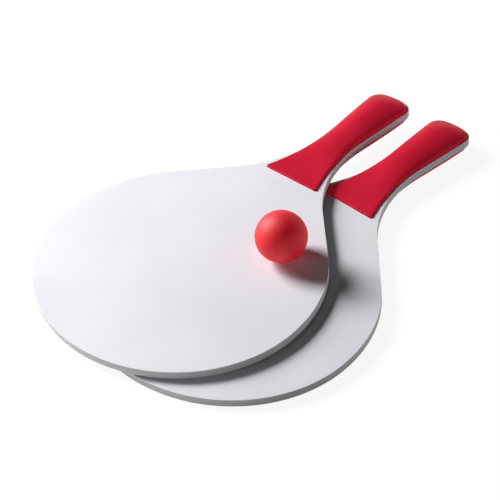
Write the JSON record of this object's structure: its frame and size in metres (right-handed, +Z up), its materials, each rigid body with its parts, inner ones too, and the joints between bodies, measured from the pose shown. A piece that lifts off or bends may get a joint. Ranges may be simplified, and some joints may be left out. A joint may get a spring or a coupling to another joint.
{
  "type": "paddle ball game",
  "caption": "Beach paddle game: broad round-bladed paddles with moulded red handle grips, lying one across the other, and a small hollow red ball resting on the blade.",
  "frame": {"origin": "on the floor under the middle of the whole set's plan", "axes": "+Z up; +X along the lower paddle from its blade to the end of its handle; +Y across, towards the side on which the upper paddle sticks out"},
  "size_m": [0.3834, 0.2795, 0.0598],
  "materials": {
    "core_edge": "satin white board edge",
    "facing": "smooth satin white laminate",
    "grip": "moulded red, satin gloss",
    "ball": "smooth red, satin gloss"
  },
  "bodies": {
    "lower_paddle": {"lower_core": "core_edge", "lower_front_facing": "facing", "lower_back_facing": "facing", "lower_front_grip": "grip", "lower_back_grip": "grip"},
    "upper_paddle": {"upper_core": "core_edge", "upper_front_facing": "facing", "upper_back_facing": "facing", "upper_front_grip": "grip", "upper_back_grip": "grip"},
    "ball": {"ball_upper_half": "ball", "ball_lower_half": "ball"}
  },
  "joints": [
    {"name": "upper_lift", "type": "slide", "parent": "lower_paddle", "child": "upper_paddle", "axis": [0, 0, 1], "range_m": [0, 0.12]},
    {"name": "ball_lift", "type": "slide", "parent": "upper_paddle", "child": "ball", "axis": [0, 0, 1], "range_m": [0, 0.25]}
  ]
}
